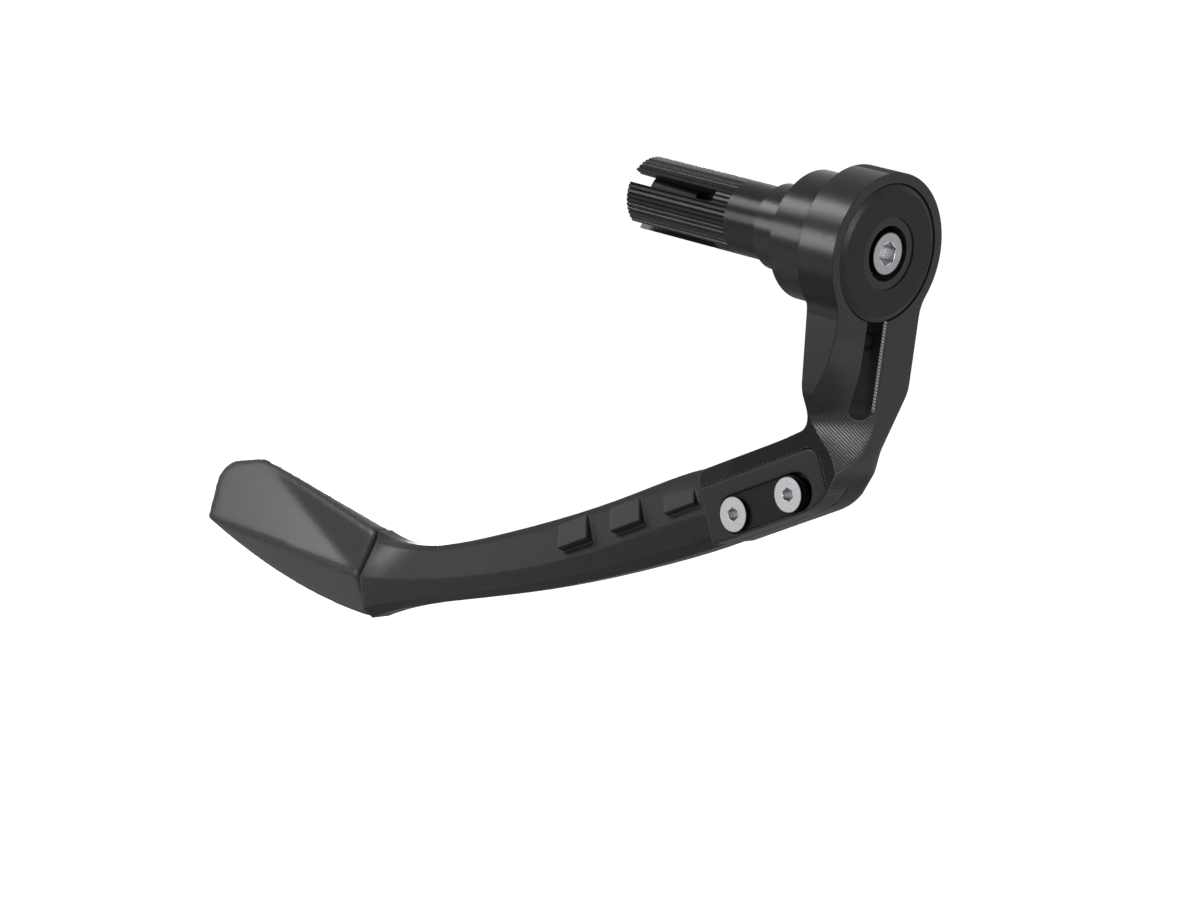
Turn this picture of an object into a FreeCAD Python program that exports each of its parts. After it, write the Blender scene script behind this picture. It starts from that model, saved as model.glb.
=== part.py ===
import FreeCAD, Part
import math
import os

from FreeCAD import Rotation, Vector

# Lever guard for a handlebar end, in millimetres.
# Frame: X runs along the bar axis, outward; the origin is on that axis, on the face that meets the bar's end.
# The arm hangs down, towards -Z. The leg and the blade run inward and down, in the XZ plane, and face -Y.

# Bar-end stack, turned pieces on the X axis
SLEEVE_DIA = 17.8
SLEEVE_BORE = 10.6
NECK_LENGTH = 11.0
FLUTE_LENGTH = 32.0
FLUTE_COUNT = 48
FLUTE_DEPTH = 0.35
SLEEVE_SLOTS = 4
SLEEVE_SLOT_WIDTH = 3.3
SLEEVE_SLOT_LENGTH = 27.0
SLEEVE_SLOT_TURN = 30.0
CONE_LENGTH = 14.0
CONE_RECESS = 4.5
CONE_MOUTH_DIA = 13.2
COLLAR_DIA = 20.6
COLLAR_LENGTH = 10.0
DRUM_DIA = 30.8
DRUM_LENGTH = 11.7
JOURNAL_DIA = 24.0
BUSH_DIA = 17.0
CAP_DIA = 32.1
CAP_THICKNESS = 3.0
CAP_BEVEL = 1.3
CAP_PROUD = 0.4
BOLT_DIA = 6.0
BOLT_HEAD_DIA = 10.0
BOLT_HEAD_HEIGHT = 6.0
BOLT_HEX = 5.0
BOLT_RECESS_DIA = 13.0
HEX_TURN = 10.0

# Arm: head, upright and leg
HEAD_DIA = 37.6
HEAD_THICKNESS = 10.9
UPRIGHT_WIDTH = 28.6
NECK_FILLET = 9.0
EASE_RADIUS = 8.0
BEND_START = 33.0
BEND_RADIUS = 18.0
HEEL_PROUD = 4.5
INNER_FILLET = 7.0
LEG_ANGLE = 28.5
LEG_WIDTH = 14.0
LEG_BELOW_SCREWS = 5.2
LEG_ABOVE_SCREWS = 12.7
LEG_END_MARGIN = 8.8
LEG_END_RADIUS = 3.2
RAIL_HEIGHT = 3.8
POCKET_DEPTH = 6.5

# Pinch slot and bolt that clamp the head onto the hub's journal
PINCH_SLOT_WIDTH = 6.0
PINCH_SLOT_DROP = 39.5
PINCH_SLOT_CHAMFER = 0.8
PINCH_BOLT_DIA = 4.0
PINCH_BOLT_Z = -21.5
PINCH_HOLE_WALL = 4.0
PINCH_HOLE_SPARE = 1.0
PINCH_HEAD_DIA = 7.0
PINCH_HEAD_HEIGHT = 4.0
PINCH_HEX = 3.0

# Milled cove at the bend: drops below the bar axis, with the depth of the cut behind the front face at each drop,
# beside the arm and just past its middle
COVE_DROPS = (16.0, 25.0, 31.0, 36.0, 40.0, 45.0, 50.0, 54.0)
COVE_NEAR_DEPTHS = (-0.3, 1.2, 3.6, 7.0, 9.2, 7.4, 3.6, 0.8)
COVE_FAR_DEPTHS = (-0.3, -0.1, 0.0, 0.0, 0.0, -0.6, -1.6, -2.5)
COVE_NEAR_Y = -16.0
COVE_FAR_Y = 3.8

# Blade screws: the right-hand one sets the place of the leg
SCREW_X = 19.1
SCREW_Z = -59.5
SCREW_PITCH = 18.2
SCREW_DIA = 5.0
SCREW_HEAD_DIA = 8.6
SCREW_HEAD_HEIGHT = 1.0
SCREW_HEX = 3.0
PLATE_THICKNESS = 1.6
PLATE_MARGIN = 0.2
PLATE_SINK = 0.4
BLADE_TRAVEL = 2.5
TANG_END = 11.4
TANG_CORNER = 3.0

# Blade and tip in the leg's grid (u down the leg, v across it, from the right-hand screw).
# Sections between the leg's end and the seam: top edge (u, v), bottom edge (u, v), share of the way down where the
# ridge runs, and how far the top and the bottom edge lie behind the ridge
BLADE_STATIONS = (
    ((54.3, 14.3), (54.3, -4.3), 0.60, 6.4, 5.0),
    ((81.3, 15.0), (81.3, -2.0), 0.64, 6.8, 4.8),
    ((107.3, 17.0), (108.3, 1.7), 0.62, 7.2, 4.6),
    ((133.3, 21.2), (137.3, 6.4), 0.54, 7.6, 4.6),
)
ROOT_ABOVE_RAIL = 0.7
ROOT_RIDGE = 0.58
ROOT_TOP_SET = 4.4
ROOT_LOW_SET = 5.0
RIM_SHARE = 0.10
BELLY_SHARE = 0.88
BLADE_BACK = 7.5
BACK_TOP_SHARE = 0.16
BACK_LOW_SHARE = 0.82
BACK_BEVEL = 0.5
SEAM_TOP = (147.5, 28.7)
SEAM_LOW = (156.0, 7.6)
SEAM_RIDGE = 0.5
SEAM_TOP_SET = 6.0
SEAM_LOW_SET = 5.0
TIP_BACK = (194.5, 61.0)
TIP_BACK_SET = 14.2
TIP_END = (209.5, 64.0)
TIP_END_LOW = (208.3, 48.8)
TIP_LOW_SET = 1.0
TIP_BELLY = (181.0, 22.2)
TIP_CORNER = 4.0
TIP_GAP = 0.5
TENON_LENGTH = 9.0
TENON_HALF = 2.5
TENON_SHARES = (0.34, 0.72)

# Finger pads on the blade's upper face
PAD_COUNT = 3
PAD_PITCH = 18.9
PAD_START = 29.8
PAD_WIDTH = 10.5
PAD_LEAN = 4.0
PAD_LOW = 6.0
PAD_HIGH = 12.4
PAD_RISE = 0.5
PAD_SET = -0.3
PAD_DROP = 6.0
PAD_SINK = 6.0

# Clearances
RUN_CLEAR = 0.05
AXIAL_CLEAR = 0.10
SEAT_GAP = 0.30
SLIDE_GAP = 0.15
THREAD_CLEAR = 0.05
BOLT_HOLE_CLEAR = 0.25

# Places that follow from the sizes above
SLEEVE_END = -(NECK_LENGTH + FLUTE_LENGTH)
DRUM_START = COLLAR_LENGTH
DRUM_END = DRUM_START + DRUM_LENGTH
HEAD_BACK = DRUM_END + AXIAL_CLEAR
HEAD_FRONT = DRUM_END + HEAD_THICKNESS
HEAD_MIDDLE = (HEAD_BACK + HEAD_FRONT) / 2
CAP_BACK = HEAD_FRONT - CAP_THICKNESS
BOLT_SEAT = HEAD_FRONT - BOLT_HEAD_HEIGHT
CONE_INNER = SLEEVE_END + CONE_RECESS
CONE_OUTER = CONE_INNER + CONE_LENGTH
UPRIGHT_SIDE = UPRIGHT_WIDTH / 2
PINCH_SEAT = UPRIGHT_SIDE - PINCH_HEAD_HEIGHT
LEG_FRONT = -LEG_WIDTH / 2
LEG_BACK = LEG_WIDTH / 2
LEG_END = SCREW_PITCH + LEG_END_MARGIN
POCKET_FLOOR = LEG_FRONT + POCKET_DEPTH
BLADE_ROOT = LEG_END + SEAT_GAP
PLATE_WIDTH = SCREW_HEAD_DIA + 2 * PLATE_MARGIN
PLATE_FRONT = LEG_FRONT + PLATE_SINK
SEAM_LENGTH = math.dist(SEAM_TOP, SEAM_LOW)
AXIS_X = Vector(1, 0, 0)
AXIS_Y = Vector(0, 1, 0)


def rod(dia, start, end):
    """Round bar on the bar axis, from one X to another."""
    return Part.makeCylinder(dia / 2, end - start, Vector(start, 0, 0), AXIS_X)


def cone(dia_start, dia_end, start, end):
    return Part.makeCone(dia_start / 2, dia_end / 2, end - start, Vector(start, 0, 0), AXIS_X)


def polygon(points):
    return Part.makePolygon(points + points[:1])


def hex_prism(across_flats, base, axis, depth):
    """Hexagonal bar from base along axis."""
    radius = across_flats / math.sqrt(3)
    corners = []
    for k in range(6):
        turn = math.radians(60 * k + HEX_TURN)
        corners.append(Vector(radius * math.cos(turn), radius * math.sin(turn), 0))
    prism = Part.Face(polygon(corners)).extrude(Vector(0, 0, depth))
    prism.Placement = FreeCAD.Placement(base, Rotation(Vector(0, 0, 1), axis))
    return prism


def near(point, target, reach=0.5):
    return math.hypot(point.x - target.x, point.z - target.z) < reach


def edges_along(shape, direction, test):
    """Straight edges that run in a direction and whose middle passes a test."""
    found = []
    for edge in shape.Edges:
        if isinstance(edge.Curve, Part.Line) and abs(edge.tangentAt(edge.FirstParameter).dot(direction)) > 0.999:
            if test(edge.CenterOfMass):
                found.append(edge)
    return found


def beyond(p, q, r, way):
    """Everything past the plane through three points, on the side that a direction names."""
    reach = 2 * TIP_END[0]
    plane = Part.Plane(p, q, r)
    outward = plane.Axis if plane.Axis.dot(way) > 0 else -plane.Axis
    return plane.toShape(-reach, reach, -reach, reach).extrude(outward * reach)


def on_leg(u, v, y=0.0):
    """Point of the leg's own grid: u runs down the leg from the right-hand screw, v across it, upwards."""
    c = math.cos(math.radians(LEG_ANGLE))
    s = math.sin(math.radians(LEG_ANGLE))
    return Vector(SCREW_X - u * c - v * s, y, SCREW_Z - u * s + v * c)


def leg_prism(corners, y_low, y_high):
    """Prism through Y with an outline in the leg's grid."""
    face = Part.Face(polygon([on_leg(u, v, y_low) for u, v in corners]))
    return face.extrude(Vector(0, y_high - y_low, 0))


def leg_rod(u, v, dia, y_low, y_high):
    return Part.makeCylinder(dia / 2, y_high - y_low, on_leg(u, v, y_low), AXIS_Y)


def leg_obround(u_low, u_high, width, y_low, y_high):
    """Slot-shaped prism along the leg, from one end of its round ends to the other."""
    radius = width / 2
    left, right = u_low + radius, u_high - radius
    body = leg_prism([(left, -radius), (right, -radius), (right, radius), (left, radius)], y_low, y_high)
    for u in (left, right):
        body = body.fuse(leg_rod(u, 0, width, y_low, y_high))
    return body.removeSplitter()


def expander_sleeve():
    """Split sleeve that grips the bar's bore: a smooth neck, then flutes, slots and a tapered mouth."""
    rim = SLEEVE_DIA / 2
    points = []
    for k in range(FLUTE_COUNT):
        for part, radius in ((0.0, rim), (0.5, rim), (0.75, rim - FLUTE_DEPTH)):
            turn = 2 * math.pi * (k + part) / FLUTE_COUNT
            points.append(Vector(SLEEVE_END, radius * math.cos(turn), radius * math.sin(turn)))
    fluted = Part.Face(polygon(points)).extrude(Vector(FLUTE_LENGTH, 0, 0))
    sleeve = rod(SLEEVE_DIA, -NECK_LENGTH, 0).fuse(fluted)
    sleeve = sleeve.cut(rod(SLEEVE_BORE, SLEEVE_END, 0))
    sleeve = sleeve.cut(cone(CONE_MOUTH_DIA, SLEEVE_BORE, SLEEVE_END, CONE_OUTER))
    for k in range(SLEEVE_SLOTS):
        slot = Part.makeBox(SLEEVE_SLOT_LENGTH, SLEEVE_DIA, SLEEVE_SLOT_WIDTH,
                            Vector(SLEEVE_END, -SLEEVE_DIA, -SLEEVE_SLOT_WIDTH / 2))
        slot.rotate(Vector(0, 0, 0), AXIS_X, 360 * k / SLEEVE_SLOTS - SLEEVE_SLOT_TURN)
        sleeve = sleeve.cut(slot)
    return sleeve


def expander_cone():
    """Nut with the taper of the sleeve's mouth."""
    taper = (CONE_MOUTH_DIA - SLEEVE_BORE) / (CONE_OUTER - SLEEVE_END)
    big = CONE_MOUTH_DIA - taper * CONE_RECESS - 2 * RUN_CLEAR
    small = SLEEVE_BORE - 2 * RUN_CLEAR
    return cone(big, small, CONE_INNER, CONE_OUTER).cut(rod(BOLT_DIA + 2 * THREAD_CLEAR, CONE_INNER, CONE_OUTER))


def collar():
    return rod(COLLAR_DIA, 0, COLLAR_LENGTH).cut(rod(BOLT_DIA + 2 * BOLT_HOLE_CLEAR, 0, COLLAR_LENGTH))


def hub():
    """Drum, the journal that the arm turns on, and the bush that shows inside the cap ring."""
    body = rod(DRUM_DIA, DRUM_START, DRUM_END)
    body = body.fuse(rod(JOURNAL_DIA, DRUM_END, CAP_BACK)).fuse(rod(BUSH_DIA, CAP_BACK, HEAD_FRONT))
    body = body.cut(rod(BOLT_DIA + 2 * BOLT_HOLE_CLEAR, DRUM_START, HEAD_FRONT))
    return body.cut(rod(BOLT_RECESS_DIA, BOLT_SEAT, HEAD_FRONT)).removeSplitter()


def cap_ring():
    front = HEAD_FRONT + CAP_PROUD
    ring = rod(CAP_DIA, CAP_BACK, front - CAP_BEVEL / 2)
    ring = ring.fuse(cone(CAP_DIA, CAP_DIA - 2 * CAP_BEVEL, front - CAP_BEVEL / 2, front))
    return ring.cut(rod(BUSH_DIA + 2 * RUN_CLEAR, CAP_BACK, front)).removeSplitter()


def central_bolt():
    head = rod(BOLT_HEAD_DIA, BOLT_SEAT, HEAD_FRONT)
    socket = hex_prism(BOLT_HEX, Vector(HEAD_FRONT, 0, 0), -AXIS_X, BOLT_HEAD_HEIGHT / 2)
    return head.fuse(rod(BOLT_DIA, CONE_INNER, BOLT_SEAT)).cut(socket).removeSplitter()


def arm_side():
    """The arm's outline in the XZ plane, through the whole width: upright, rounded bend and leg."""
    slope = math.tan(math.radians(LEG_ANGLE))
    low, high = on_leg(0, -LEG_BELOW_SCREWS), on_leg(0, LEG_ABOVE_SCREWS)
    inner_x = HEAD_BACK + HEAD_THICKNESS / 3
    corner_out = Vector(HEAD_FRONT, 0, low.z + (HEAD_FRONT - low.x) * slope)
    corner_in = Vector(inner_x, 0, high.z + (inner_x - high.x) * slope)
    end_low, end_high = on_leg(LEG_END, -LEG_BELOW_SCREWS), on_leg(LEG_END, LEG_ABOVE_SCREWS)
    outline = polygon([Vector(HEAD_BACK, 0, 0), Vector(HEAD_FRONT, 0, 0), corner_out, end_low, end_high, corner_in])
    side = Part.Face(outline).extrude(Vector(0, UPRIGHT_WIDTH, 0))
    side.translate(Vector(0, -UPRIGHT_SIDE, 0))
    for corner, radius in ((corner_out, BEND_RADIUS), (corner_in, INNER_FILLET), (end_high, LEG_END_RADIUS)):
        side = side.makeFillet(radius, edges_along(side, AXIS_Y, lambda p: near(p, corner)))
    return side


def arm_front():
    """Front outline of upright and leg, through the whole depth, easing from one width to the other."""
    wide, narrow, deep = UPRIGHT_SIDE, LEG_BACK, 3 * abs(SCREW_Z)
    ease = BEND_START + UPRIGHT_WIDTH - LEG_WIDTH
    right = [(wide, 0), (wide, -BEND_START), (narrow, -ease), (narrow, -deep)]
    left = [(-y, z) for y, z in reversed(right)]
    front = Part.Face(polygon([Vector(-deep, y, z) for y, z in right + left])).extrude(Vector(2 * deep, 0, 0))
    return front.makeFillet(EASE_RADIUS, edges_along(front, AXIS_X, lambda p: -deep < p.z < 0))


def arm():
    body = arm_side().common(arm_front()).fuse(rod(HEAD_DIA, HEAD_BACK, HEAD_FRONT)).removeSplitter()
    neck = edges_along(body, AXIS_X, lambda p: -HEAD_DIA / 2 < p.z < -HEAD_DIA / 8)
    body = body.makeFillet(NECK_FILLET, neck)
    body = body.cut(rod(JOURNAL_DIA + 2 * RUN_CLEAR, HEAD_BACK, HEAD_FRONT))
    body = body.cut(rod(CAP_DIA + 2 * SEAT_GAP, CAP_BACK - AXIAL_CLEAR, HEAD_FRONT))
    for cutter in (heel(), cove(), pinch_slot(), blade_pocket()):
        body = body.cut(cutter)
    for u in (0, SCREW_PITCH):
        body = body.cut(leg_rod(u, 0, SCREW_DIA + 2 * THREAD_CLEAR, POCKET_FLOOR, LEG_BACK))
    return body


def heel():
    """Cutter that slants the outside of the bend, from the front's far edge to the leg's near edge."""
    proud = Vector(1, 0, -1).normalize() * HEEL_PROUD
    near_low = on_leg(-TANG_END, -LEG_BELOW_SCREWS, LEG_FRONT)
    far_low = on_leg(0, -LEG_BELOW_SCREWS, LEG_BACK)
    far_top = Vector(HEAD_FRONT, UPRIGHT_SIDE, -BEND_START)
    return beyond(near_low + proud, far_low + proud, far_top + proud, AXIS_X)


def cove():
    """Cutter for the milled cove that turns the upright's front face towards the leg's front face.

    It is ruled between two curves, one beside the arm and one just past its middle, inside the pinch slot.
    """
    ends = []
    for y, depths in ((COVE_NEAR_Y, COVE_NEAR_DEPTHS), (COVE_FAR_Y, COVE_FAR_DEPTHS)):
        curve = Part.BSplineCurve()
        curve.interpolate([Vector(HEAD_FRONT - depth, y, -drop) for drop, depth in zip(COVE_DROPS, depths)])
        top, low = curve.StartPoint, curve.EndPoint
        out_top, out_low = (Vector(HEAD_FRONT + HEAD_THICKNESS, y, point.z) for point in (top, low))
        ends.append(Part.Wire([curve.toShape(), Part.makeLine(low, out_low), Part.makeLine(out_low, out_top),
                               Part.makeLine(out_top, top)]))
    return Part.makeLoft(ends, True, True)


def pinch_slot():
    """Slot from the head's bore down the upright, with its front edge eased, and the pinch bolt's hole."""
    half, lip = PINCH_SLOT_WIDTH / 2, PINCH_SLOT_CHAMFER
    down = Vector(0, 0, half - PINCH_SLOT_DROP)
    slot = Part.makeBox(HEAD_THICKNESS, 2 * half, -down.z, Vector(HEAD_BACK, -half, down.z))
    slot = slot.fuse(rod(2 * half, HEAD_BACK, HEAD_FRONT).translated(down))
    slot = slot.fuse(cone(2 * half, 2 * half + 2 * lip, HEAD_FRONT - lip, HEAD_FRONT).translated(down))
    wedge = polygon([Vector(HEAD_FRONT - lip, -half, 0), Vector(HEAD_FRONT, -half - lip, 0),
                     Vector(HEAD_FRONT, half + lip, 0), Vector(HEAD_FRONT - lip, half, 0)])
    slot = slot.fuse(Part.Face(wedge).extrude(down))
    hole_end = PINCH_HOLE_WALL - UPRIGHT_SIDE
    hole = pinch_rod(PINCH_BOLT_DIA + 2 * THREAD_CLEAR, hole_end, UPRIGHT_SIDE)
    return slot.fuse(hole).fuse(pinch_rod(PINCH_HEAD_DIA + 2 * SEAT_GAP, PINCH_SEAT, UPRIGHT_SIDE))


def pinch_rod(dia, y_low, y_high):
    return Part.makeCylinder(dia / 2, y_high - y_low, Vector(HEAD_MIDDLE, y_low, PINCH_BOLT_Z), AXIS_Y)


def pinch_bolt():
    shank_end = PINCH_HOLE_WALL + PINCH_HOLE_SPARE - UPRIGHT_SIDE
    bolt = pinch_rod(PINCH_BOLT_DIA, shank_end, PINCH_SEAT).fuse(pinch_rod(PINCH_HEAD_DIA, PINCH_SEAT, UPRIGHT_SIDE))
    socket = hex_prism(PINCH_HEX, Vector(HEAD_MIDDLE, UPRIGHT_SIDE, PINCH_BOLT_Z), -AXIS_Y, PINCH_HEAD_HEIGHT / 2)
    return bolt.cut(socket).removeSplitter()


def blade_pocket():
    """Step in the leg's front that the blade's tang lies in, under the rail."""
    top = LEG_ABOVE_SCREWS - RAIL_HEIGHT
    outer = -TANG_END - SEAT_GAP
    deep = 3 * LEG_BELOW_SCREWS
    far = LEG_END + deep
    pocket = leg_prism([(outer, -deep), (far, -deep), (far, top), (outer, top)],
                       LEG_FRONT - UPRIGHT_WIDTH, POCKET_FLOOR)
    corner = on_leg(outer, top)
    return pocket.makeFillet(TANG_CORNER, edges_along(pocket, AXIS_Y, lambda p: near(p, corner)))


def across(top, low, share, y):
    """Point on the line from a top edge to a bottom edge of the leg's grid, at a share of the way down."""
    return on_leg(top[0] + share * (low[0] - top[0]), top[1] + share * (low[1] - top[1]), y)


def blade_section(top, low, ridge, top_set, low_set):
    """Closed section of the blade: a ridged front, its rim and belly eased, and a bevelled back."""
    front = ((0, top_set), (RIM_SHARE, 0.9 * top_set), (ridge, 0), (BELLY_SHARE, 0.33 * low_set), (1, low_set))
    points = [across(top, low, share, LEG_FRONT + inset) for share, inset in front]
    bevelled = BACK_BEVEL * BLADE_BACK
    for share, y in ((1, bevelled), (BACK_LOW_SHARE, BLADE_BACK), (BACK_TOP_SHARE, BLADE_BACK), (0, bevelled)):
        points.append(across(top, low, share, y))
    return polygon(points)


def blade_tang():
    """Half-thickness end of the blade that lies in the leg's pocket."""
    top = LEG_ABOVE_SCREWS - RAIL_HEIGHT - SLIDE_GAP
    low = -LEG_BELOW_SCREWS
    back = POCKET_FLOOR - SLIDE_GAP
    tang = leg_prism([(-TANG_END, low), (BLADE_ROOT, low), (BLADE_ROOT, top), (-TANG_END, top)], LEG_FRONT, back)
    corner = on_leg(-TANG_END, top)
    tang = tang.makeFillet(TANG_CORNER, edges_along(tang, AXIS_Y, lambda p: near(p, corner)))
    start = LEG_END - SEAT_GAP
    shoulder = leg_prism([(start, low), (BLADE_ROOT, low), (BLADE_ROOT, top), (start, top)], LEG_FRONT, back)
    return tang.common(arm_side()).fuse(shoulder).removeSplitter()


def pads():
    """Wedges on the upper face, level with it near the top rim and proud of it at their lower lip."""
    made = []
    front, rim_front, sunk = LEG_FRONT + PAD_SET, LEG_FRONT + PAD_SET + PAD_DROP, LEG_FRONT + PAD_SINK
    for k in range(PAD_COUNT):
        right = PAD_START + k * PAD_PITCH
        left = right + PAD_WIDTH
        low, high = PAD_LOW + k * PAD_RISE, PAD_HIGH + k * PAD_RISE
        rim = [on_leg(u + PAD_LEAN, high, rim_front) for u in (left, right)]
        over = [on_leg(u, low, front) for u in (right, left)] + rim
        under = [on_leg(u, low - PAD_SINK / 2, sunk) for u in (right, left)]
        under += [Vector(p.x, sunk, p.z) for p in rim]
        made.append(Part.makeLoft([polygon(over), polygon(under)], True, True))
    return made


def blade():
    """Bowed blade with its tang, the channel and slots that it slides by, its pads and the tip's tenon."""
    top, low = LEG_ABOVE_SCREWS + ROOT_ABOVE_RAIL, -LEG_BELOW_SCREWS
    root = ((BLADE_ROOT, top), (BLADE_ROOT, low), ROOT_RIDGE, ROOT_TOP_SET, ROOT_LOW_SET)
    seam = (SEAM_TOP, SEAM_LOW, SEAM_RIDGE, SEAM_TOP_SET, SEAM_LOW_SET)
    body = Part.makeLoft([blade_section(*sizes) for sizes in (root,) + BLADE_STATIONS + (seam,)], True, False)
    for piece in [blade_tang()] + pads():
        body = body.fuse(piece)
    channel_low = -PLATE_WIDTH / 2 - SLIDE_GAP - BLADE_TRAVEL
    channel_high = SCREW_PITCH + PLATE_WIDTH / 2 + SLIDE_GAP
    body = body.cut(leg_obround(channel_low, channel_high, PLATE_WIDTH + 2 * SLIDE_GAP, LEG_FRONT - POCKET_DEPTH,
                                PLATE_FRONT + PLATE_THICKNESS + SLIDE_GAP))
    reach = SCREW_DIA / 2 + SEAT_GAP
    for u in (0, SCREW_PITCH):
        body = body.cut(leg_obround(u - reach - BLADE_TRAVEL, u + reach, 2 * reach, LEG_FRONT, POCKET_FLOOR))
    return body.fuse(tenon(0)).removeSplitter()


def past_seam(point, length):
    """A point of the leg's grid, moved square to the seam, towards the tip's end."""
    u, v = SEAM_LOW[0] - SEAM_TOP[0], SEAM_LOW[1] - SEAM_TOP[1]
    return point[0] - v / SEAM_LENGTH * length, point[1] + u / SEAM_LENGTH * length


def tenon(grow):
    """Tongue on the blade's end that the tip's socket takes."""
    spread = (-grow / SEAM_LENGTH, grow / SEAM_LENGTH)
    ends = []
    for share, more in zip(TENON_SHARES, spread):
        ends.append([top + (share + more) * (low - top) for top, low in zip(SEAM_TOP, SEAM_LOW)])
    inner = [past_seam(point, -TENON_LENGTH / 2) for point in ends]
    outer = [past_seam(point, TENON_LENGTH + grow) for point in ends]
    return leg_prism(inner + outer[::-1], -TENON_HALF - grow, TENON_HALF + grow)


def tip_blank():
    """Side outline of the tip through its whole width: straight on top, bowed below, one end corner rounded."""
    corners = (past_seam(SEAM_LOW, TIP_GAP), past_seam(SEAM_TOP, TIP_GAP), TIP_BACK, TIP_END, TIP_END_LOW, TIP_BELLY)
    seam_low, seam_top, back, end, low, belly = (on_leg(u, v, LEG_FRONT) for u, v in corners)
    outline = [Part.makeLine(seam_low, seam_top), Part.makeLine(seam_top, back), Part.makeLine(back, end),
               Part.makeLine(end, low), Part.Arc(low, belly, seam_low).toShape()]
    blank = Part.Face(Part.Wire(outline)).extrude(Vector(0, BLADE_BACK - LEG_FRONT, 0))
    return blank.makeFillet(TIP_CORNER, edges_along(blank, AXIS_Y, lambda p: near(p, end)))


def tip():
    """End piece whose front is one large facet between a scooped upper facet and an undercut lower one."""
    ridge = across(SEAM_TOP, SEAM_LOW, SEAM_RIDGE, LEG_FRONT)
    seam_top = on_leg(*SEAM_TOP, LEG_FRONT + SEAM_TOP_SET)
    seam_low = on_leg(*SEAM_LOW, LEG_FRONT + SEAM_LOW_SET)
    back = on_leg(*TIP_BACK, LEG_FRONT + TIP_BACK_SET)
    low = on_leg(*TIP_END_LOW, LEG_FRONT + TIP_LOW_SET)
    bevelled = BACK_BEVEL * BLADE_BACK
    blank = tip_blank().cut(beyond(ridge, low, seam_low, -AXIS_Y))
    for edge, far, share in ((SEAM_TOP, TIP_BACK, BACK_TOP_SHARE), (SEAM_LOW, TIP_END_LOW, BACK_LOW_SHARE)):
        inside = across(SEAM_TOP, SEAM_LOW, share, BLADE_BACK)
        blank = blank.cut(beyond(on_leg(*edge, bevelled), on_leg(*far, BLADE_BACK), inside, AXIS_Y))
    body = blank.cut(beyond(ridge, back, low, -AXIS_Y)).fuse(blank.cut(beyond(ridge, seam_top, back, -AXIS_Y)))
    return body.cut(tenon(SLIDE_GAP)).removeSplitter()


def clamp_plate():
    """Slot-shaped plate that presses the blade's tang onto the leg."""
    half = PLATE_WIDTH / 2
    back = PLATE_FRONT + PLATE_THICKNESS
    plate = leg_obround(-half, SCREW_PITCH + half, PLATE_WIDTH, PLATE_FRONT, back)
    for u in (0, SCREW_PITCH):
        plate = plate.cut(leg_rod(u, 0, SCREW_DIA + 2 * BOLT_HOLE_CLEAR, PLATE_FRONT, back))
    return plate


def blade_screws():
    made = []
    for u in (0, SCREW_PITCH):
        top = PLATE_FRONT - SCREW_HEAD_HEIGHT
        screw = leg_rod(u, 0, SCREW_HEAD_DIA, top, PLATE_FRONT)
        screw = screw.fuse(leg_rod(u, 0, SCREW_DIA, PLATE_FRONT, LEG_BACK - SEAT_GAP))
        socket = hex_prism(SCREW_HEX, on_leg(u, 0, top), AXIS_Y, 2 * SCREW_HEAD_HEIGHT)
        made.append(screw.cut(socket).removeSplitter())
    return Part.makeCompound(made)


os.makedirs("parts", exist_ok=True)
for make in (expander_sleeve, expander_cone, collar, hub, cap_ring, central_bolt, arm, pinch_bolt, clamp_plate,
             blade_screws, blade, tip):
    make().exportStep("parts/%s.step" % make.__name__)
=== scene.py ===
import math

import bpy
from mathutils import Matrix, Vector


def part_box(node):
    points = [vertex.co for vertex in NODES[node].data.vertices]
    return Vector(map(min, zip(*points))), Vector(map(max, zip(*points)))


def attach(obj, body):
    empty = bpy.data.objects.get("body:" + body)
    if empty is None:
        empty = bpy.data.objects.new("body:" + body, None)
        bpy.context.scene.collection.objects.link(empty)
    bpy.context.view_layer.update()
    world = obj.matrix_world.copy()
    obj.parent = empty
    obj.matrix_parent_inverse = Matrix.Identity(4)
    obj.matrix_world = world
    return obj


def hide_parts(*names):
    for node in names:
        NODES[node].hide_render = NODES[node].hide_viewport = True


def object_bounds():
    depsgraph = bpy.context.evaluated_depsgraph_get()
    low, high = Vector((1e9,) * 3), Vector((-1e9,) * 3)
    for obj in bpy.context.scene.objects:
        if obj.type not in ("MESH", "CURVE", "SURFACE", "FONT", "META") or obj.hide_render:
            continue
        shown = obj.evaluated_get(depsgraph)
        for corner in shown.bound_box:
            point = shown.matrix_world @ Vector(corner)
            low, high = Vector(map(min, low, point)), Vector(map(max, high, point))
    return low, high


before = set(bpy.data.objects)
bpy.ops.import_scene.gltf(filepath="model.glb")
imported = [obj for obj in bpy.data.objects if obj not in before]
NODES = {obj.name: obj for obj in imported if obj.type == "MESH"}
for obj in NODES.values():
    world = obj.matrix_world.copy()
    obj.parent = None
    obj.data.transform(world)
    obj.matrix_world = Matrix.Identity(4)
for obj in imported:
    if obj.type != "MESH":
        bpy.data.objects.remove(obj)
CAD_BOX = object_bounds()
SCENE = bpy.context.scene

# Lengths are in metres, angles in degrees and greys linear

# Camera: it looks at the guard from outside and a little above
CAM_AZIMUTH = 43.634
CAM_ELEVATION = 11.566
CAM_ROLL = 7.219
CAM_DISTANCE = 0.900
CAM_TARGET = Vector((-0.0099, -0.0417, -0.0536))
CAM_LENS = 117.0
CAM_SENSOR = 36.0
CAM_CLIP = (0.01, 100.0)

# Radii of the bright heads, and of the circles round their hexagon sockets
BOLT_HEAD = 0.0050
BOLT_SOCKET = 0.0029
SCREW_HEAD = 0.0043
SCREW_SOCKET = 0.0017
# Soft rims within those circles: where the face fades to the painted dark sides and to the painted glint of
# the socket
HEAD_RIM = (0.0003, 0.0001)
SOCKET_RIM = 0.0003

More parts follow.
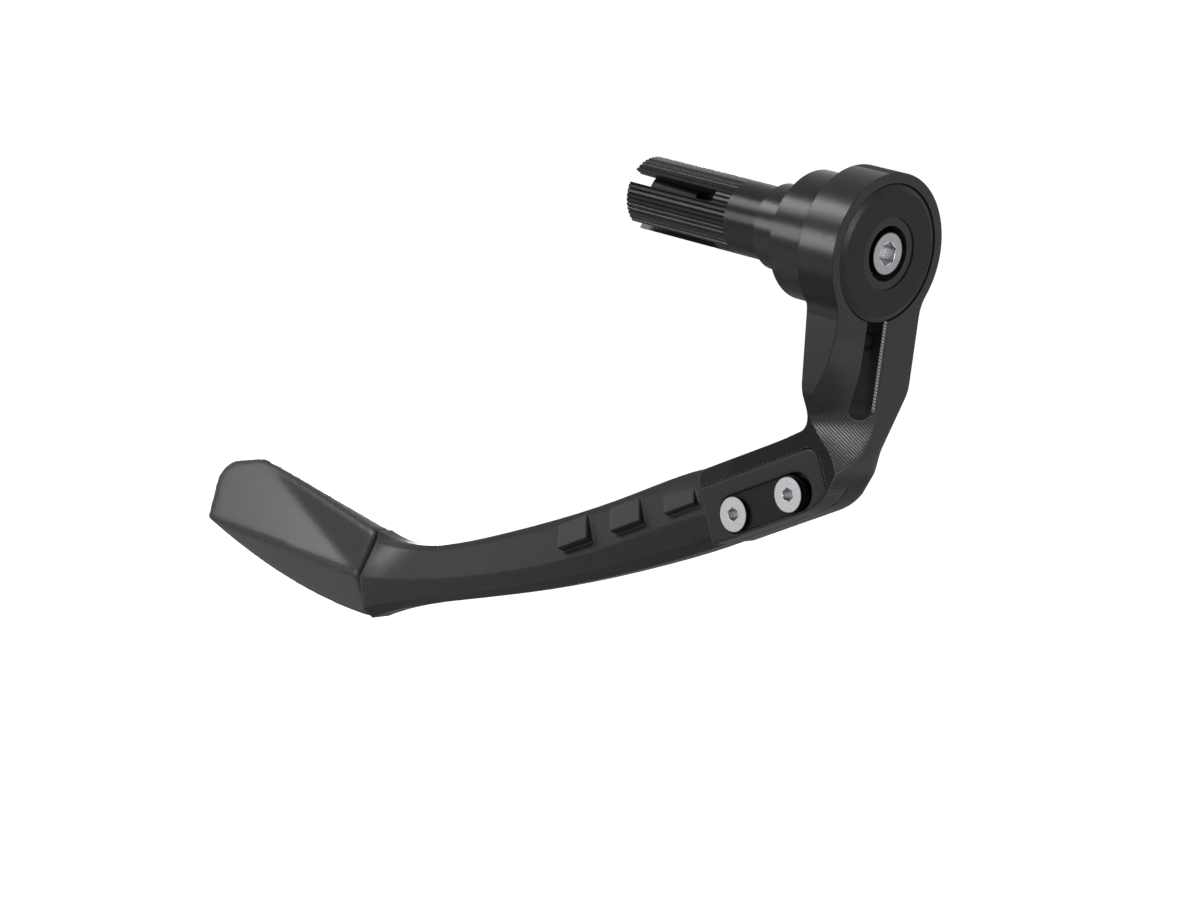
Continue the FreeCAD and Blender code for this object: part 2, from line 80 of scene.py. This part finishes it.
# Blue in each grey, rounding of small metal edges, and samples of the nodes that round edges
BLUE = 1.03
FINE_EDGE = 0.0002
EDGE_SAMPLES = 6
# How alike the true and the rounded normal are, from an edge to a flat face
EDGE_TO_FLAT = (0.90, 0.99)

# Rounding of the tip's ridges: weld, grid and smoothing passes
TIP_WELD = 0.00001
TIP_VOXEL = 0.0005
TIP_SMOOTHING = 30

# Faces that look down: from which cosine to which, what is left of their gloss where they get painted shade,
# and how much rougher they are
DOWN = (0.3, 0.7)
DOWN_SHADE_GLOSS = 0.3
DOWN_GRAIN = 0.4

# Marks on the milled arm
ARM_EDGE = 0.0003
HEEL_EDGE = 0.0025
MILL_PITCH = 0.0006
STEP_DEPTH = 0.000030
STEP_GRAIN = 0.28
STEP_FAINT = 0.20
NOTCH_DEPTH = 0.00010
HATCH_DEPTH = 0.000040
HATCH_SHINE = 0.08
BLACK = 0.009
BARE_METAL = 0.18
BLACK_CLOUDS = 0.03
# What is left of the gloss where shade is painted on the arm, and how much rougher those places are
PAINTED_SHADE_GLOSS = 0.25
SUNK_GRAIN = 0.45

# Directions across those marks
ACROSS_STEPS = (0.30, 0.55, 0.78)
ACROSS_NOTCHES = (0, 0.6, 0.8)
ACROSS_HATCH = (0.87, 0, -0.50)

# Soft borders of its zones, from and to: by height, by place across the arm, and from the rail's end
EDGES_BARE_TO_SHADED = (-0.050, -0.030)
STEPS_DEEP = (-0.042, -0.026)
HEEL_HEIGHT = (-0.046, -0.041)
HEEL_SIDE = (-0.006, -0.002)
SLOT_FOOT = (-0.0405, -0.0400)
SLOT_SIDES = (0.0030, 0.0031)
LIP_SIDE = (0.0033, 0.0036)
RAIL_FACE = (-0.010, -0.0085)
RAIL_HATCH = (0.008, 0.013)

# Which way its faces look: cosines, from and to, and the direction of the slot's lip
LOOKS_THERE = (0.5, 0.7)
LOOKS_STRAIGHT = (0.9, 0.95)
LIP_WAY = (0.707, -0.707, 0)
LOOKS_LIP = (0.98, 0.995)
ARM_DOWN = (0.1, 0.4)

# Stage
WORLD_LEVEL = 0.22
FLOOR_DROP = 0.30
FLOOR_SIZE = 12.0
FLOOR_GREY = (0.6, 0.6, 0.6, 1)
FLOOR_ROUGHNESS = 0.9
FLOOR_WHITE_NEAR = 0.42
FLOOR_WHITE_FAR = 0.92
FLOOR_NEAR_TO_FAR = (0.5, 1.2)

# Name, azimuth, elevation, distance, width, height and watts of each lamp
LAMPS = (
    ("high_left", -61, 37, 1.0, 0.32, 0.32, 7.4),
    ("left_strip", -41, 6, 1.2, 0.14, 0.36, 5.8),
    ("right", 94, 15, 1.0, 0.30, 0.30, 11.0),
    ("front", 46, -4, 1.2, 0.30, 0.30, 1.6),
    ("rear", 178, 35, 1.2, 0.60, 0.50, 4.0),
    ("rear_left", 225, -6, 1.2, 0.50, 0.30, 7.0),
)


class Shader:
    """A new material with its node tree, and short calls to add and join nodes."""

    def __init__(self, name, edge=0.0):
        self.material = bpy.data.materials.new(name)
        self.material.use_nodes = True
        self.tree = self.material.node_tree
        self.surface = self.tree.nodes["Principled BSDF"]
        spots = self.tree.nodes.new("ShaderNodeTexCoord")
        self.place = spots.outputs["Object"]
        self.facing = spots.outputs["Normal"]
        if edge:
            self.rounding = self.add("ShaderNodeBevel", samples=EDGE_SAMPLES, Radius=edge)
            self.feed("Normal", self.rounding.outputs["Normal"])

    def add(self, kind, **settings):
        """New node, with values for its sockets or, where it has no such socket, its properties."""
        node = self.tree.nodes.new(kind)
        for key, value in settings.items():
            if key in node.inputs.keys():
                node.inputs[key].default_value = value
            else:
                setattr(node, key, value)
        return node

    def join(self, output, socket):
        self.tree.links.new(output, socket)

    def feed(self, socket, output):
        """Joins an output to a socket of the surface."""
        self.join(output, self.surface.inputs[socket])

    def set(self, **values):
        """Constants on the surface's own sockets."""
        for key, value in values.items():
            self.surface.inputs[key.replace("_", " ")].default_value = value

    def noise(self, scale, detail=4.0):
        node = self.add("ShaderNodeTexNoise", Scale=scale, Detail=detail)
        self.join(self.place, node.inputs["Vector"])
        return node.outputs["Fac"]

    def spread(self, value, low, high, span=(0.0, 1.0)):
        """Maps a span of values to low..high, with soft ends."""
        node = self.add("ShaderNodeMapRange", interpolation_type="SMOOTHSTEP")
        ends = {"From Min": span[0], "From Max": span[1], "To Min": low, "To Max": high}
        for key, number in ends.items():
            node.inputs[key].default_value = number
        self.join(value, node.inputs["Value"])
        return node.outputs["Result"]

    def math(self, operation, a, b=None):
        node = self.add("ShaderNodeMath", operation=operation)
        for value, socket in ((a, node.inputs[0]), (b, node.inputs[1])):
            if value is None:
                continue
            if isinstance(value, (int, float)):
                socket.default_value = value
            else:
                self.join(value, socket)
        return node.outputs[0]

    def times(self, a, b):
        return self.math("MULTIPLY", a, b)

    def most(self, a, b):
        return self.math("MAXIMUM", a, b)

    def vector(self, operation, vector, other):
        """Vector node on an output and a constant."""
        node = self.add("ShaderNodeVectorMath", operation=operation)
        node.inputs[1].default_value = other
        self.join(vector, node.inputs[0])
        return node

    def length(self, vector):
        node = self.add("ShaderNodeVectorMath", operation="LENGTH")
        self.join(vector, node.inputs[0])
        return node.outputs["Value"]

    def at(self, way):
        """Place along a direction."""
        return self.vector("DOT_PRODUCT", self.place, way).outputs["Value"]

    def looks(self, way, span):
        """0..1, towards faces that look along a direction."""
        cosine = self.vector("DOT_PRODUCT", self.facing, way).outputs["Value"]
        return self.spread(cosine, 0.0, 1.0, span)

    def bump(self, height, depth):
        """Adds a layer of relief over those before it."""
        node = self.add("ShaderNodeBump", Strength=1.0, Distance=depth)
        self.join(height, node.inputs["Height"])
        below = self.surface.inputs["Normal"]
        if below.is_linked:
            self.join(below.links[0].from_socket, node.inputs["Normal"])
        self.feed("Normal", node.outputs["Normal"])

    def grey(self, value, low, high):
        """Base colour between two greys, faintly blue, by a 0..1 value."""
        ramp = self.add("ShaderNodeValToRGB")
        for element, level in zip(ramp.color_ramp.elements, (low, high)):
            element.color = (level, level, level * BLUE, 1)
        self.join(value, ramp.inputs["Fac"])
        self.feed("Base Color", ramp.outputs["Color"])

    def edges(self, reach):
        """0..1, towards the edges where two faces meet."""
        eased = self.add("ShaderNodeBevel", samples=EDGE_SAMPLES, Radius=reach)
        true = self.add("ShaderNodeNewGeometry")
        alike = self.add("ShaderNodeVectorMath", operation="DOT_PRODUCT")
        self.join(eased.outputs["Normal"], alike.inputs[0])
        self.join(true.outputs["Normal"], alike.inputs[1])
        return self.spread(alike.outputs["Value"], 1.0, 0.0, EDGE_TO_FLAT)

    def rough(self, value, low, high, more=None):
        """Roughness low..high by a value, and more where that is given."""
        roughness = self.spread(value, low, high)
        if more is not None:
            roughness = self.math("ADD", roughness, more)
        self.feed("Roughness", roughness)

    def rough_and_shade_below(self, value, low, high):
        """Roughness low..high by a value, with faces that look down rougher and with painted shade on them,
        by cutting their gloss.
        """
        below = self.looks((0, 0, -1), DOWN)
        # Painted shade: the specular tint darkens the faces that look down
        self.feed("Specular Tint", self.spread(below, 1.0, DOWN_SHADE_GLOSS))
        self.rough(value, low, high, self.times(below, DOWN_GRAIN))


def tool_lines(shader, place, pitch):
    """Cusped tool marks at an even pitch, along a place that grows across them."""
    return shader.math("ABSOLUTE", shader.math("SINE", shader.times(place, math.pi / pitch)))


def radius_from_axis(shader):
    """Distance from the bar axis."""
    y, z = shader.at((0, 1, 0)), shader.at((0, 0, 1))
    return shader.math("SQRT", shader.math("ADD", shader.times(y, y), shader.times(z, z)))


def turned_black(name, gloss):
    """Black anodised aluminium off the lathe: fine lines round the bar axis."""
    shader = Shader(name)
    shader.set(Specular_IOR_Level=gloss)
    shader.grey(shader.noise(900.0), 0.011, 0.017)
    shader.rough_and_shade_below(shader.noise(900.0), 0.22, 0.25)
    shader.bump(tool_lines(shader, shader.at((1, 0, 0)), pitch=0.00022), depth=0.000003)
    shader.bump(shader.noise(3000.0), depth=0.000002)
    return shader.material


def cap_black():
    """Matt black anodised face with rings round the bolt."""
    shader = Shader("cap_black", edge=FINE_EDGE)
    shader.set(Specular_IOR_Level=0.06)
    shader.grey(shader.noise(900.0), 0.008, 0.013)
    shader.rough(shader.noise(900.0), 0.32, 0.40)
    shader.bump(tool_lines(shader, radius_from_axis(shader), pitch=0.0003), depth=0.000002)
    shader.bump(shader.noise(8000.0), depth=0.000003)
    return shader.material


def milled_black():
    """Black anodised aluminium off the mill, with cutter steps across the bend."""
    shader = Shader("milled_black", edge=ARM_EDGE)
    shader.set(Specular_IOR_Level=0.14)
    height = shader.at((0, 0, 1))
    across = shader.at((0, 1, 0))
    front = shader.looks((1, 0, 0), LOOKS_THERE)
    upward = shader.looks((0, 0, 1), LOOKS_THERE)

    # Rail, hatched at its end
    rail = shader.looks((0, -1, 0), LOOKS_STRAIGHT)
    rail = shader.times(rail, shader.spread(across, 0.0, 1.0, RAIL_FACE))
    rail_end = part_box("arm")[0][0]
    hatched = shader.spread(shader.at((1, 0, 0)), 1.0, 0.0, [rail_end + reach for reach in RAIL_HATCH])
    hatch = tool_lines(shader, shader.at(ACROSS_HATCH), MILL_PITCH)
    hatch = shader.times(hatch, shader.times(rail, hatched))

    # Notched lip of the pinch slot, and edges worn to bare metal round the bend
    lip = shader.looks(LIP_WAY, LOOKS_LIP)
    lip = shader.times(lip, shader.spread(across, 1.0, 0.0, LIP_SIDE))
    notches = tool_lines(shader, shader.at(ACROSS_NOTCHES), MILL_PITCH)
    edges = shader.edges(ARM_EDGE)
    worn = shader.times(edges, shader.spread(height, 1.0, 0.0, EDGES_BARE_TO_SHADED))
    bare_and_sheen = shader.times(notches, shader.most(lip, worn))
    # Lighter hatch lines on the rail's end: a painted sheen along the tool marks, added to the worn bare
    # metal
    bare_and_sheen = shader.most(bare_and_sheen, shader.times(hatch, HATCH_SHINE))
    clouds = shader.spread(shader.noise(700.0), 0.0, BLACK_CLOUDS)
    shader.grey(shader.most(bare_and_sheen, clouds), BLACK, BARE_METAL)

    # Painted shade: less gloss on the rail, in the slot, on faces that look down and along the upper edges,
    # so that these look darker
    slot = shader.spread(shader.math("ABSOLUTE", across), 1.0, 0.0, SLOT_SIDES)
    slot = shader.times(slot, shader.spread(height, 0.0, 1.0, SLOT_FOOT))
    slot = shader.times(slot, shader.most(upward, shader.spread(front, 1.0, 0.0)))
    # Upper edges, which get painted shade through the gloss cut below
    shaded_upper_edges = shader.times(edges, shader.spread(height, 0.0, 1.0, EDGES_BARE_TO_SHADED))
    shade_zones = shader.most(shader.most(rail, slot), shader.looks((0, 0, -1), ARM_DOWN))
    shade_zones = shader.most(shade_zones, shaded_upper_edges)
    # The specular tint darkens these zones as painted shade
    shader.feed("Specular Tint", shader.spread(shade_zones, 1.0, PAINTED_SHADE_GLOSS))

    # Rounded crease at the heel
    heel = shader.spread(height, 1.0, 0.0, HEEL_HEIGHT)
    heel = shader.times(heel, shader.spread(across, 0.0, 1.0, HEEL_SIDE))
    shader.join(shader.spread(heel, ARM_EDGE, HEEL_EDGE), shader.rounding.inputs["Radius"])

    # Cutter steps, rough in their grooves
    steps = tool_lines(shader, shader.at(ACROSS_STEPS), MILL_PITCH)
    deep = shader.times(front, shader.spread(height, 1.0, STEP_FAINT, STEPS_DEEP))
    grooves = shader.times(shader.math("SUBTRACT", 1.0, steps), deep)
    coarse = shader.most(shader.times(grooves, STEP_GRAIN), shader.times(shade_zones, SUNK_GRAIN))
    shader.rough(shader.noise(900.0), 0.23, 0.29, coarse)
    shader.bump(shader.times(steps, deep), STEP_DEPTH)
    shader.bump(shader.times(notches, lip), NOTCH_DEPTH)
    shader.bump(hatch, HATCH_DEPTH)
    shader.bump(shader.noise(6000.0), depth=0.000003)
    return shader.material


def bright_steel(name, axis, heads, radius, socket):
    """Zinc-plated steel: sandy on the heads' faces, with a painted glint in their sockets and a painted dark
    reflection round their sides.
    """
    shader = Shader(name, edge=FINE_EDGE)
    shader.set(Metallic=1.0)
    nearest = None
    for head in heads:
        away = shader.vector("SUBTRACT", shader.place, head).outputs[0]
        far = shader.length(shader.vector("CROSS_PRODUCT", away, axis).outputs[0])
        nearest = far if nearest is None else shader.math("MINIMUM", nearest, far)
    # Outside the face, the heads' sides are painted dark: a painted reflection of the black parts round them
    face = shader.spread(nearest, 1.0, 0.0, [radius - rim for rim in HEAD_RIM])
    sand = shader.spread(shader.noise(3500.0, 6.0), 0.7, 1.0)
    # Painted glint: the sockets are brighter than the face
    socket_glint = shader.spread(nearest, 1.0, 0.46, (socket - SOCKET_RIM, socket))
    shader.grey(shader.times(shader.times(face, sand), socket_glint), 0.02, 0.60)
    shader.rough(socket_glint, 0.42, 0.22)
    shader.bump(shader.noise(5000.0, 6.0), depth=0.00002)
    return shader.material


def black_steel():
    """Blackened steel with a trace of oil."""
    shader = Shader("black_steel", edge=FINE_EDGE)
    shader.set(Specular_IOR_Level=0.06)
    shader.grey(shader.noise(1500.0), 0.003, 0.008)
    shader.rough(shader.noise(700.0), 0.30, 0.44)
    shader.bump(shader.noise(5000.0), depth=0.000008)
    return shader.material


def grained_plastic(name, greys, roughness, gloss, edge):
    """Moulded plastic with a fine spark-eroded grain and soft edges."""
    shader = Shader(name, edge=edge)
    shader.set(Specular_IOR_Level=gloss)
    shader.grey(shader.noise(1200.0), *greys)
    shader.rough_and_shade_below(shader.noise(2500.0), roughness - 0.03, roughness + 0.03)
    shader.bump(shader.noise(4200.0, 5.0), depth=0.000014)
    return shader.material


def screw_heads():
    """Centres of the two blade screws: their heads touch two corners of the node's box."""
    low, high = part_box("blade_screws")
    return [
        (low[0] + SCREW_HEAD, 0, low[2] + SCREW_HEAD),
        (high[0] - SCREW_HEAD, 0, high[2] - SCREW_HEAD),
    ]


def soften_tip(material):
    """The moulded tip with its ridges and corners rounded, in place of the CAD tip."""
    piece = bpy.data.objects.new("soft_tip", NODES["tip"].data.copy())
    SCENE.collection.objects.link(piece)
    weld = piece.modifiers.new("weld", "WELD")
    weld.merge_threshold = TIP_WELD
    remesh = piece.modifiers.new("remesh", "REMESH")
    remesh.mode = "VOXEL"
    remesh.voxel_size = TIP_VOXEL
    smooth = piece.modifiers.new("smooth", "SMOOTH")
    smooth.iterations = TIP_SMOOTHING
    seen = piece.evaluated_get(bpy.context.evaluated_depsgraph_get())
    mesh = bpy.data.meshes.new_from_object(seen)
    piece.modifiers.clear()
    piece.data = mesh
    mesh.shade_smooth()
    mesh.materials.clear()
    mesh.materials.append(material)
    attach(piece, "blade")
    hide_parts("tip")


def dress():
    """Gives each CAD node its finish, and puts the softened tip in place."""
    turned = turned_black("turned_black", gloss=0.11)
    steel = black_steel()
    cap = cap_black()
    bolt = bright_steel("bolt_steel", (1, 0, 0), [(0, 0, 0)], BOLT_HEAD, BOLT_SOCKET)
    screws = bright_steel("screw_steel", (0, 1, 0), screw_heads(), SCREW_HEAD, SCREW_SOCKET)
    blade = grained_plastic(
        "blade_plastic", greys=(0.011, 0.019), roughness=0.33, gloss=0.105, edge=0.0010)
    tip = grained_plastic(
        "tip_plastic", greys=(0.013, 0.022), roughness=0.28, gloss=0.15, edge=0.0022)
    finish = {
        "expander_sleeve": turned_black("fluted_black", gloss=0.07),
        "expander_cone": steel,
        "collar": turned,
        "hub": turned,
        "cap_ring": cap,
        "central_bolt": bolt,
        "arm": milled_black(),
        "pinch_bolt": steel,
        "clamp_plate": cap,
        "blade_screws": screws,
        "blade": blade,
        "tip": tip,
    }
    for name, material in finish.items():
        data = NODES[name].data
        data.materials.clear()
        data.materials.append(material)
    soften_tip(tip)


def direction(azimuth, elevation):
    """Unit vector from the object towards an azimuth and elevation."""
    az, el = math.radians(azimuth), math.radians(elevation)
    return Vector((math.sin(az) * math.cos(el), -math.cos(az) * math.cos(el), math.sin(el)))


def make_camera():
    data = bpy.data.cameras.new("camera")
    data.lens = CAM_LENS
    data.sensor_width = CAM_SENSOR
    data.clip_start, data.clip_end = CAM_CLIP
    camera = bpy.data.objects.new("camera", data)
    back = direction(CAM_AZIMUTH, CAM_ELEVATION)
    right = Vector((0, 0, 1)).cross(back).normalized()
    up = back.cross(right)
    turn = Matrix((right, up, back)).transposed().to_4x4()
    roll = Matrix.Rotation(math.radians(CAM_ROLL), 4, "Z")
    camera.matrix_world = Matrix.Translation(CAM_TARGET + back * CAM_DISTANCE) @ turn @ roll
    SCENE.collection.objects.link(camera)
    SCENE.camera = camera


def softbox(name, azimuth, elevation, reach, width, height, watts):
    """Area lamp that looks at the object."""
    data = bpy.data.lights.new(name, "AREA")
    data.shape = "RECTANGLE"
    data.size = width
    data.size_y = height
    data.energy = watts
    lamp = bpy.data.objects.new(name, data)
    away = direction(azimuth, elevation)
    lamp.location = CAM_TARGET + away * reach
    lamp.rotation_euler = away.to_track_quat("Z", "Y").to_euler()
    SCENE.collection.objects.link(lamp)


def add_white(tree, surface, output, strength):
    """Lifts a surface towards white for the camera, for reflections and through glass alone."""
    path = tree.nodes.new("ShaderNodeLightPath")
    seen = path.outputs["Is Camera Ray"]
    for kind in ("Is Glossy Ray", "Is Transmission Ray"):
        either = tree.nodes.new("ShaderNodeMath")
        either.operation = "MAXIMUM"
        tree.links.new(seen, either.inputs[0])
        tree.links.new(path.outputs[kind], either.inputs[1])
        seen = either.outputs[0]
    scaled = tree.nodes.new("ShaderNodeMath")
    scaled.operation = "MULTIPLY"
    tree.links.new(seen, scaled.inputs[0])
    if isinstance(strength, float):
        scaled.inputs[1].default_value = strength
    else:
        tree.links.new(strength, scaled.inputs[1])
    white = tree.nodes.new("ShaderNodeEmission")
    tree.links.new(scaled.outputs[0], white.inputs["Strength"])
    both = tree.nodes.new("ShaderNodeAddShader")
    tree.links.new(surface, both.inputs[0])
    tree.links.new(white.outputs[0], both.inputs[1])
    tree.links.new(both.outputs[0], output)


def make_world():
    world = bpy.data.worlds.new("studio")
    SCENE.world = world
    world.use_nodes = True
    tree = world.node_tree
    plain = tree.nodes["Background"]
    plain.inputs["Color"].default_value = (1, 1, 1, 1)
    plain.inputs["Strength"].default_value = WORLD_LEVEL
    add_white(tree, plain.outputs[0], tree.nodes["World Output"].inputs["Surface"], 1.0 - WORLD_LEVEL)


def make_floor():
    """Pale floor well under the part, so that its shadow falls outside the camera's view."""
    low = CAD_BOX[0][2] - FLOOR_DROP
    half = FLOOR_SIZE / 2
    mesh = bpy.data.meshes.new("floor")
    corners = [(-half, -half, low), (half, -half, low), (half, half, low), (-half, half, low)]
    mesh.from_pydata(corners, [], [(0, 1, 2, 3)])
    floor = bpy.data.objects.new("floor", mesh)
    SCENE.collection.objects.link(floor)
    shader = Shader("pale_floor")
    shader.set(Roughness=FLOOR_ROUGHNESS, Base_Color=FLOOR_GREY, Specular_IOR_Level=0.0)
    top = shader.tree.nodes["Material Output"].inputs["Surface"]
    lift = shader.spread(shader.length(shader.place), FLOOR_WHITE_NEAR, FLOOR_WHITE_FAR, FLOOR_NEAR_TO_FAR)
    add_white(shader.tree, shader.surface.outputs[0], top, lift)
    mesh.materials.append(shader.material)


dress()
make_camera()
make_world()
make_floor()
for lamp in LAMPS:
    softbox(*lamp)
SCENE.view_settings.view_transform = "Standard"
